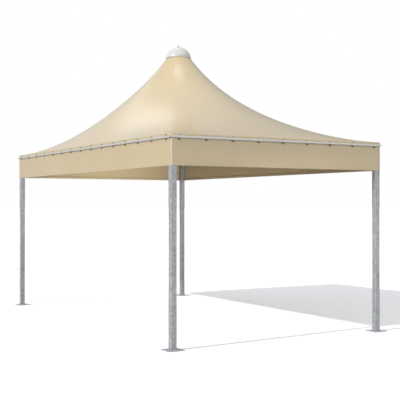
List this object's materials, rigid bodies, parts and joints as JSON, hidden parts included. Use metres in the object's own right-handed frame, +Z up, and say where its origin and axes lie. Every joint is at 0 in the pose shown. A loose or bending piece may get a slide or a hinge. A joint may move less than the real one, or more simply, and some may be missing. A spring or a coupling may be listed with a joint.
{
  "type": "marquee tent",
  "caption": "Rectangular marquee tent: square steel posts on base plates, concave coated-fabric roof drawn up to a domed cap, flat valance and clamped edge rails.",
  "frame": {"origin": "centre of the footprint at ground level, under the base plates", "axes": "+X along the long side, +Y along the short side, +Z up; front is -Y"},
  "size_m": [5.2734, 3.1234, 3.8833],
  "materials": {
    "galvanised_steel": "hot-dip galvanised, mottled grey",
    "rail_tube": "mill finish, satin",
    "coated_fabric": "beige PVC-coated polyester, soft gloss",
    "cap_plastic": "moulded light grey plastic, soft gloss"
  },
  "bodies": {
    "root": {"base_plate_front_left": "galvanised_steel", "post_front_left": "galvanised_steel", "corner_bracket_front_left": "galvanised_steel", "strut_front_left": "galvanised_steel", "base_plate_front_right": "galvanised_steel", "post_front_right": "galvanised_steel", "corner_bracket_front_right": "galvanised_steel", "strut_front_right": "galvanised_steel", "base_plate_back_right": "galvanised_steel", "post_back_right": "galvanised_steel", "corner_bracket_back_right": "galvanised_steel", "strut_back_right": "galvanised_steel", "base_plate_back_left": "galvanised_steel", "post_back_left": "galvanised_steel", "corner_bracket_back_left": "galvanised_steel", "strut_back_left": "galvanised_steel", "eave_beam_front": "galvanised_steel", "valance_front": "coated_fabric", "rail_front": "rail_tube", "eave_beam_back": "galvanised_steel", "valance_back": "coated_fabric", "rail_back": "rail_tube", "eave_beam_left": "galvanised_steel", "valance_left": "coated_fabric", "rail_left": "rail_tube", "eave_beam_right": "galvanised_steel", "valance_right": "coated_fabric", "rail_right": "rail_tube", "mast": "galvanised_steel", "mast_hub": "galvanised_steel", "crown_ring": "galvanised_steel", "roof_membrane": "coated_fabric", "dome_cap": "cap_plastic", "finial": "galvanised_steel"}
  },
  "joints": []
}
